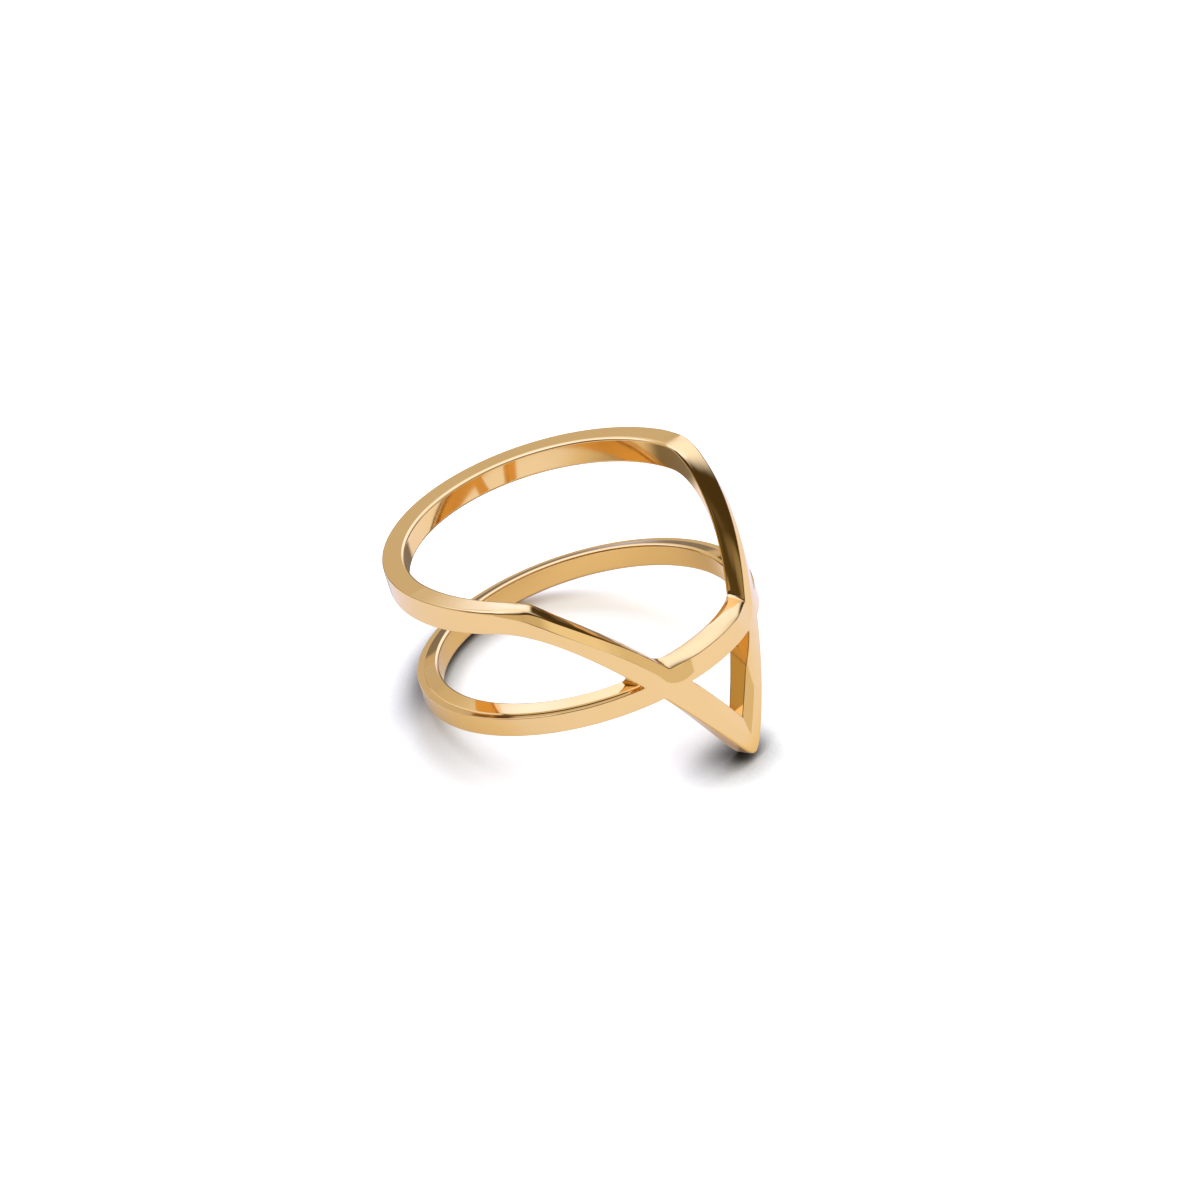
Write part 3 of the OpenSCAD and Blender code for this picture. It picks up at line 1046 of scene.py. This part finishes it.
@dataclass
class Studio:
    """Floor, soft light and camera of the picture."""

    floor_side: float = 0.6
    # Sky: its strength and tint, its brightness at elevations in degrees, and the cards in it
    sky_strength: float = 1.25
    sky_tint: str = "#e3e8ff"
    sky_levels: tuple[tuple[float, float], ...] = (
        (0.0, 0.08), (5.0, 0.13), (10.0, 0.64), (14.0, 0.7), (28.0, 0.77), (37.0, 0.1), (90.0, 0.07))
    cards: tuple[Card, ...] = (
        Card(-98, 19, 10, 22, 0.87), Card(-122, 18, 12, 24, 0.98), Card(178, 4, 20, 30, 0.7),
        Card(-52, 4, 22, 34, 0.8), Card(-80, 9, 12, 19, 0.8), Card(-168, 56, 6, 18, 0.35),
        Card(58, 1, 10, 17, 0.64), Card(143, 20, 12, 17, 0.55, 2.0), Card(46, 50, 5, 38, 1.25, 2.4),
        Card(30, 27, 5, 16, 1.22, 2.7), Card(86, 40, 8, 16, 1.3, 2.7), Card(75, 60, 8, 15, 1.3, 2.7),
        Card(38, 21, 4, 10, 1.28, 2.7), Card(-6, 14, 19, 26, 0.07))
    # Key light: metres, degrees and watts, with an azimuth of 0 in front and 90 on the ring's right
    key_distance: float = 1.0
    key_side: float = 2.2
    key_azimuth: float = 78.0
    key_elevation: float = 66.0
    key_watts: float = 52.0
    # Camera: degrees, pixels of the photograph, metres to the ring, clip end in such distances, sensor width
    azimuth: float = -54.595
    elevation: float = 38.017
    roll: float = 1.027
    pixels_per_mm: float = 17.631
    middle_px: tuple[float, float] = (572.676, 586.663)
    frame_px: float = 1200.0
    distance: float = 2.0
    clip_share: float = 10.0
    sensor_mm: float = 36.0

    def lay_floor(self) -> bpy.types.Object:
        """Lays the white floor under the ring."""
        half = self.floor_side / 2
        mesh = bpy.data.meshes.new("floor")
        corners = [(-half, -half, 0), (half, -half, 0), (half, half, 0), (-half, half, 0)]
        mesh.from_pydata(corners, [], [(0, 1, 2, 3)])
        mesh.materials.append(MattPaperSweep().make())
        floor = new_object("floor", mesh)
        return floor

    def set_sky(self) -> None:
        """Surrounds the ring with a pale studio, with soft bright and dark cards in it."""
        world = bpy.data.worlds.new("studio")
        bpy.context.scene.world = world
        world.use_nodes = True
        tree = world.node_tree
        tree.nodes.clear()
        way = add_node(tree, "ShaderNodeTexCoord").outputs["Generated"]
        height = add_node(tree, "ShaderNodeSeparateXYZ", inputs={0: way}).outputs[2]
        levels = add_node(tree, "ShaderNodeValToRGB", inputs={0: height})
        stops = levels.color_ramp.elements
        while len(stops) < len(self.sky_levels):
            stops.new(0.5)
        for stop, (elevation, level) in zip(stops, self.sky_levels):
            stop.position, stop.color = sin(radians(elevation)), studio_tone(level)
        light = levels.outputs[0]
        for card in self.cards:
            light = card.paint(tree, way, light)
        tinted = mix(tree, 1.0, light, linear(self.sky_tint), "MULTIPLY")
        sky = add_node(tree, "ShaderNodeBackground", inputs={"Color": tinted, "Strength": self.sky_strength})
        add_node(tree, "ShaderNodeOutputWorld", inputs={"Surface": sky.outputs[0]})

    def hang_key(self) -> bpy.types.Object:
        """Hangs the soft key light, which faces the ring and isn't mirrored by it."""
        data = bpy.data.lights.new("key_panel", "AREA")
        data.energy, data.size, data.color = self.key_watts, self.key_side, linear(self.sky_tint)[:3]
        light, way = new_object("key_panel", data), facing(self.key_azimuth, self.key_elevation)
        light.location = way * self.key_distance
        light.rotation_mode = "QUATERNION"
        light.rotation_quaternion = way.to_track_quat("Z", "Y")
        light.visible_glossy = False
        return light

    def place_camera(self, middle: Sequence[float]) -> bpy.types.Object:
        """Places the camera at the photograph's angle, far off with a long lens; the middle is in mm."""
        a, roll = radians(self.azimuth), radians(self.roll)
        right, back = Vector((cos(a), sin(a), 0)), facing(self.azimuth, self.elevation)
        up = back.cross(right)
        right, up = (right * cos(roll) - up * sin(roll), right * sin(roll) + up * cos(roll))
        half = self.frame_px / 2
        across = (half - self.middle_px[0]) / self.pixels_per_mm
        above = (self.middle_px[1] - half) / self.pixels_per_mm
        aim = (Vector(middle) + right * across + up * above) * MM
        data = bpy.data.cameras.new("camera")
        width = self.frame_px / self.pixels_per_mm * MM
        data.sensor_width = self.sensor_mm
        data.lens = self.sensor_mm * self.distance / width
        data.clip_end = self.clip_share * self.distance
        camera = new_object("camera", data)
        turn = Matrix((right, up, back)).transposed().to_4x4()
        camera.matrix_world = Matrix.Translation(aim + back * self.distance) @ turn
        bpy.context.scene.camera = camera
        return camera

    def build(self, middle: Sequence[float]) -> None:
        """Sets up the whole studio round the ring, whose middle is given in millimetres."""
        self.place_camera(middle)
        self.lay_floor()
        self.set_sky()
        self.hang_key()
        bpy.context.scene.view_settings.view_transform = "Standard"


def main() -> None:
    logging.basicConfig(level=logging.INFO, format="%(name)s: %(message)s")
    edges = RingEdges()
    Studio().build(edges.seat)
    ring = OpenworkRing(edges).build(PolishedYellowGold().make())
    LOG.info("%s: %d faces", ring.name, len(ring.data.polygons))


if __name__ == "__main__":
    main()
